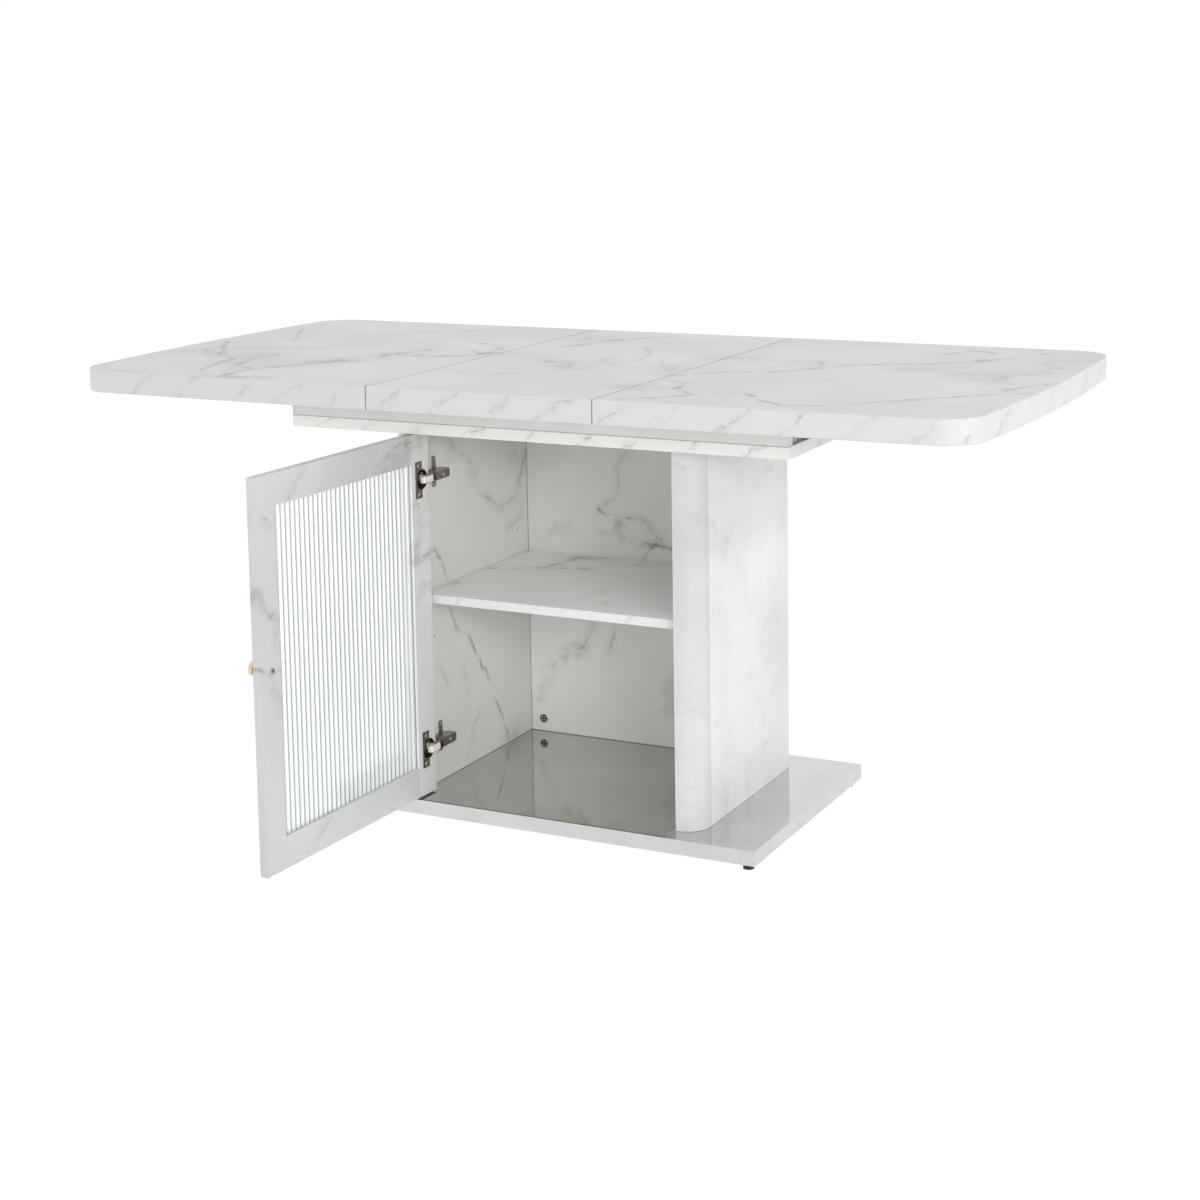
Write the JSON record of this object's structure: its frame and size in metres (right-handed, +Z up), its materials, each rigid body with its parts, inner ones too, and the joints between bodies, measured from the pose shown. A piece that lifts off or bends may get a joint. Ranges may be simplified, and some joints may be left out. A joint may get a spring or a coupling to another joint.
{
  "type": "kitchen table with storage cabinet",
  "caption": "Extending dining table with a removable middle leaf on a pedestal cabinet with a shelf and a hinged reeded-glass door, on a flat steel-clad base.",
  "frame": {"origin": "on the floor under the middle of the base, on the face of the middle glide", "axes": "+X along the table's length, -Y towards the door side, +Z up"},
  "size_m": [1.6, 1.057, 0.76],
  "materials": {
    "marble_laminate": "satin pale marble-look laminate with grey-brown veins on board",
    "grey_laminate": "plain light grey satin laminate on board",
    "polished_steel": "mirror-polished steel sheet",
    "black_plastic": "matt black moulded plastic",
    "screw_steel": "zinc-plated steel",
    "cam_zinc": "die-cast zinc",
    "track_aluminium": "mill-finish extruded aluminium",
    "hinge_nickel": "brownish nickel-plated pressed steel",
    "cover_nickel": "bright nickel-plated steel",
    "knob_brass": "satin turned brass",
    "reeded_glass": "clear reeded glass"
  },
  "bodies": {
    "frame": {"base_core": "marble_laminate", "base_cladding": "polished_steel", "base_feet": "black_plastic", "side_shell_left": "marble_laminate", "side_shell_right": "marble_laminate", "side_panel_left": "marble_laminate", "side_panel_right": "marble_laminate", "back_panel": "marble_laminate", "cam_locks": "cam_zinc", "shelf": "marble_laminate", "shelf_pins": "screw_steel", "frame_board": "marble_laminate", "rail_front": "grey_laminate", "rail_rear": "grey_laminate", "track_front_left": "track_aluminium", "track_front_right": "track_aluminium", "track_rear_left": "track_aluminium", "track_rear_right": "track_aluminium", "hinge_plate_upper": "hinge_nickel", "hinge_plate_lower": "hinge_nickel", "hinge_arm_upper": "hinge_nickel", "hinge_arm_lower": "hinge_nickel", "arm_screws": "screw_steel"},
    "door": {"door_stile_hinge": "marble_laminate", "door_stile_free": "marble_laminate", "door_rail_top": "marble_laminate", "door_rail_bottom": "marble_laminate", "reeded_glass": "reeded_glass", "door_knob": "knob_brass", "knob_screw": "screw_steel", "hinge_cups": "hinge_nickel", "hinge_link_upper": "cover_nickel", "hinge_link_lower": "cover_nickel", "hinge_pins": "screw_steel", "cup_screws": "screw_steel"},
    "left_half": {"half_top_left": "marble_laminate", "runner_front_left": "track_aluminium", "runner_rear_left": "track_aluminium"},
    "right_half": {"half_top_right": "marble_laminate", "runner_front_right": "track_aluminium", "runner_rear_right": "track_aluminium"},
    "leaf": {"leaf": "marble_laminate"}
  },
  "joints": [
    {"name": "door_hinge", "type": "hinge", "parent": "frame", "child": "door", "pos_m": [-0.225, -0.197, 0.3465], "axis": [0, 0, 1], "range_deg": [-3, 92]},
    {"name": "left_slide", "type": "slide", "parent": "frame", "child": "left_half", "axis": [-1, 0, 0], "range_m": [0, 0.04]},
    {"name": "right_slide", "type": "slide", "parent": "frame", "child": "right_half", "axis": [1, 0, 0], "range_m": [0, 0.04]},
    {"name": "leaf_lift", "type": "slide", "parent": "frame", "child": "leaf", "axis": [0, 0, 1], "range_m": [0, 0.12]}
  ]
}
